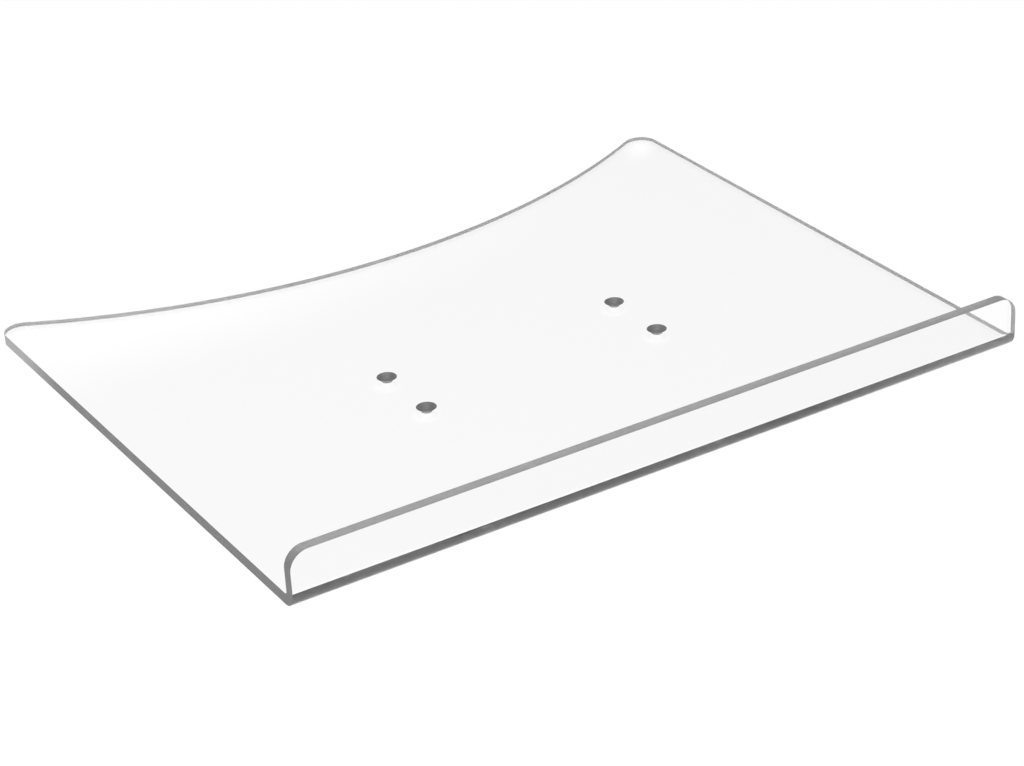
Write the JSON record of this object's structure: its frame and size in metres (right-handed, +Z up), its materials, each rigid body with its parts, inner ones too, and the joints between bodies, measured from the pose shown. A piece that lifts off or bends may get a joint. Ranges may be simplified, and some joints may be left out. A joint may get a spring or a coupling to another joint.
{
  "type": "display stand plate",
  "caption": "Clear acrylic plate of a display stand: line-bent front lip, hollowed rear edge, rounded corners and countersunk screw holes.",
  "frame": {"origin": "on the plate's underside, in the middle of its width and of its depth", "axes": "+X to the right along the lip, +Y from the lip to the hollowed rear edge, +Z up, the way the lip stands"},
  "size_m": [0.42, 0.3355, 0.03],
  "materials": {
    "clear_acrylic": "clear, polished faces and satin sawn cut edges"
  },
  "bodies": {
    "root": {"bent_acrylic_plate": "clear_acrylic"}
  },
  "joints": []
}
